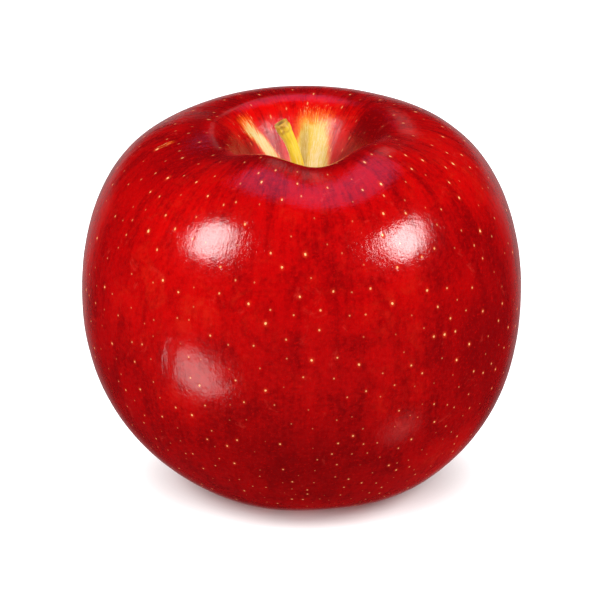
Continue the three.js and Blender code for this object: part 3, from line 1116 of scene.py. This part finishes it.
class APPLE_OT_studio(bpy.types.Operator):
    """Build the pale floor, the soft lamps, the sky and the camera"""

    bl_idname = "apple.studio"
    bl_label = "Studio"

    def execute(self, context):
        studio = context.scene.apple_studio
        self.floor(studio)
        self.lamps()
        self.sky(context.scene, studio)
        self.camera(context.scene, studio)
        context.scene.view_settings.view_transform = "Standard"
        return {"FINISHED"}

    @staticmethod
    def floor(studio):
        material, nodes = new_material("pale_floor")
        # Painted shadow: near the apple the floor's colour darkens to the shadow colour and its glow
        # fades out.
        place = nodes.add("ShaderNodeTexCoord").outputs["Object"]
        place = nodes.scaled(nodes.vector("ADD", place, SHADOW_SHIFT), SHADOW_SQUEEZE)
        away = nodes.vector("LENGTH", place, result="Value")
        nodes.surface(
            Base_Color=nodes.mix(nodes.span(away, *SHADOW_CORE), SHADOW_COLOUR, studio.floor_colour),
            Roughness=0.9,
            Specular_IOR_Level=0.0,
            Emission_Color=(1, 1, 1),
            Emission_Strength=nodes.span(away, *GLOW_REACH, 0, studio.floor_glow),
        )
        bm = bmesh.new()
        bmesh.ops.create_grid(bm, x_segments=1, y_segments=1, size=FLOOR_HALF_WIDTH)
        mesh = bpy.data.meshes.new("floor")
        bm.to_mesh(mesh)
        bm.free()
        mesh.materials.append(material)
        floor = bpy.data.objects.new("floor", mesh)
        bpy.context.scene.collection.objects.link(floor)
        floor.visible_glossy = False
        floor.visible_diffuse = False
        floor.visible_shadow = False

    @staticmethod
    def lamps():
        for name, turn, elevation, width, height, power, roll in SOFT_BOXES:
            rise = 40 * MM + math.sin(math.radians(elevation)) * 30 * MM
            target = direction(turn, 0) * 18 * MM + Vector((0, 0, rise))
            place = target + direction(turn, elevation) * SOFT_BOX_DISTANCE
            add_lamp(name, place, target, width, height, power, roll)
        add_lamp(
            "overhead_panel",
            PANEL_PLACE,
            PANEL_TARGET,
            PANEL_SIZE,
            PANEL_SIZE,
            PANEL_POWER,
            tint=PANEL_TINT,
        )

    @staticmethod
    def sky(scene, studio):
        """White where the camera sees it, soft where it lights the apple, and nearly dark where
        the glossy skin mirrors it."""
        world = bpy.data.worlds.new("studio")
        world.use_nodes = True
        scene.world = world
        nodes = Nodes(world.node_tree)
        path = nodes.add("ShaderNodeLightPath")
        _, backwards, upwards = nodes.split(nodes.add("ShaderNodeTexCoord").outputs["Generated"])
        fill = nodes.span(upwards, -0.3, 0.2, studio.floor_fill, studio.sky_light)
        behind = nodes.span(backwards, 0.7, 0.95)
        below = nodes.span(upwards, 0.02, -0.06)
        mirrored = nodes.maths("MULTIPLY", nodes.maths("MULTIPLY", behind, below), studio.sky_gloss)
        strength = nodes.blend(path.outputs["Is Glossy Ray"], fill, mirrored)
        strength = nodes.blend(path.outputs["Is Camera Ray"], strength, 1)
        background = nodes.add("ShaderNodeBackground")
        background.inputs["Color"].default_value = (1, 1, 1, 1)
        nodes.feed(background.inputs["Strength"], strength)
        output = nodes.add("ShaderNodeOutputWorld")
        world.node_tree.links.new(background.outputs[0], output.inputs[0])

    @staticmethod
    def camera(scene, studio):
        camera = bpy.data.objects.new("camera", bpy.data.cameras.new("camera"))
        camera.data.lens = studio.focal_length
        camera.data.clip_start = 0.01
        scene.collection.objects.link(camera)
        target = Vector((studio.aim_side, 0, studio.aim_height))
        away = direction(0, math.degrees(studio.camera_elevation))
        aim(camera, target + away * studio.camera_distance, target)
        scene.camera = camera


# ---------------------------------------------------------------------------------------------
# Panel and registration


class APPLE_PT_panel(bpy.types.Panel):
    """Lists the apple's pieces"""

    bl_idname = "APPLE_PT_panel"
    bl_label = "Fresh Apple"
    bl_space_type = "VIEW_3D"
    bl_region_type = "UI"
    bl_category = "Apple"

    def draw(self, context):
        for operator in OPERATORS:
            self.layout.operator(operator.bl_idname)


SETTINGS = {
    "apple_fruit": FruitSettings,
    "apple_skin": SkinSettings,
    "apple_stem": StemSettings,
    "apple_calyx": CalyxSettings,
    "apple_studio": StudioSettings,
}
OPERATORS = (APPLE_OT_fruit, APPLE_OT_stem, APPLE_OT_sepals, APPLE_OT_stamens, APPLE_OT_studio)
CLASSES = (*SETTINGS.values(), *OPERATORS, APPLE_PT_panel)


def register():
    for one in CLASSES:
        bpy.utils.register_class(one)
    for name, group in SETTINGS.items():
        setattr(bpy.types.Scene, name, PointerProperty(type=group))


def unregister():
    for name in SETTINGS:
        delattr(bpy.types.Scene, name)
    for one in reversed(CLASSES):
        bpy.utils.unregister_class(one)


def main():
    register()
    bpy.ops.apple.fruit()
    bpy.ops.apple.stem()
    bpy.ops.apple.sepals()
    bpy.ops.apple.stamens()
    bpy.ops.apple.studio()


if __name__ == "__main__":
    main()
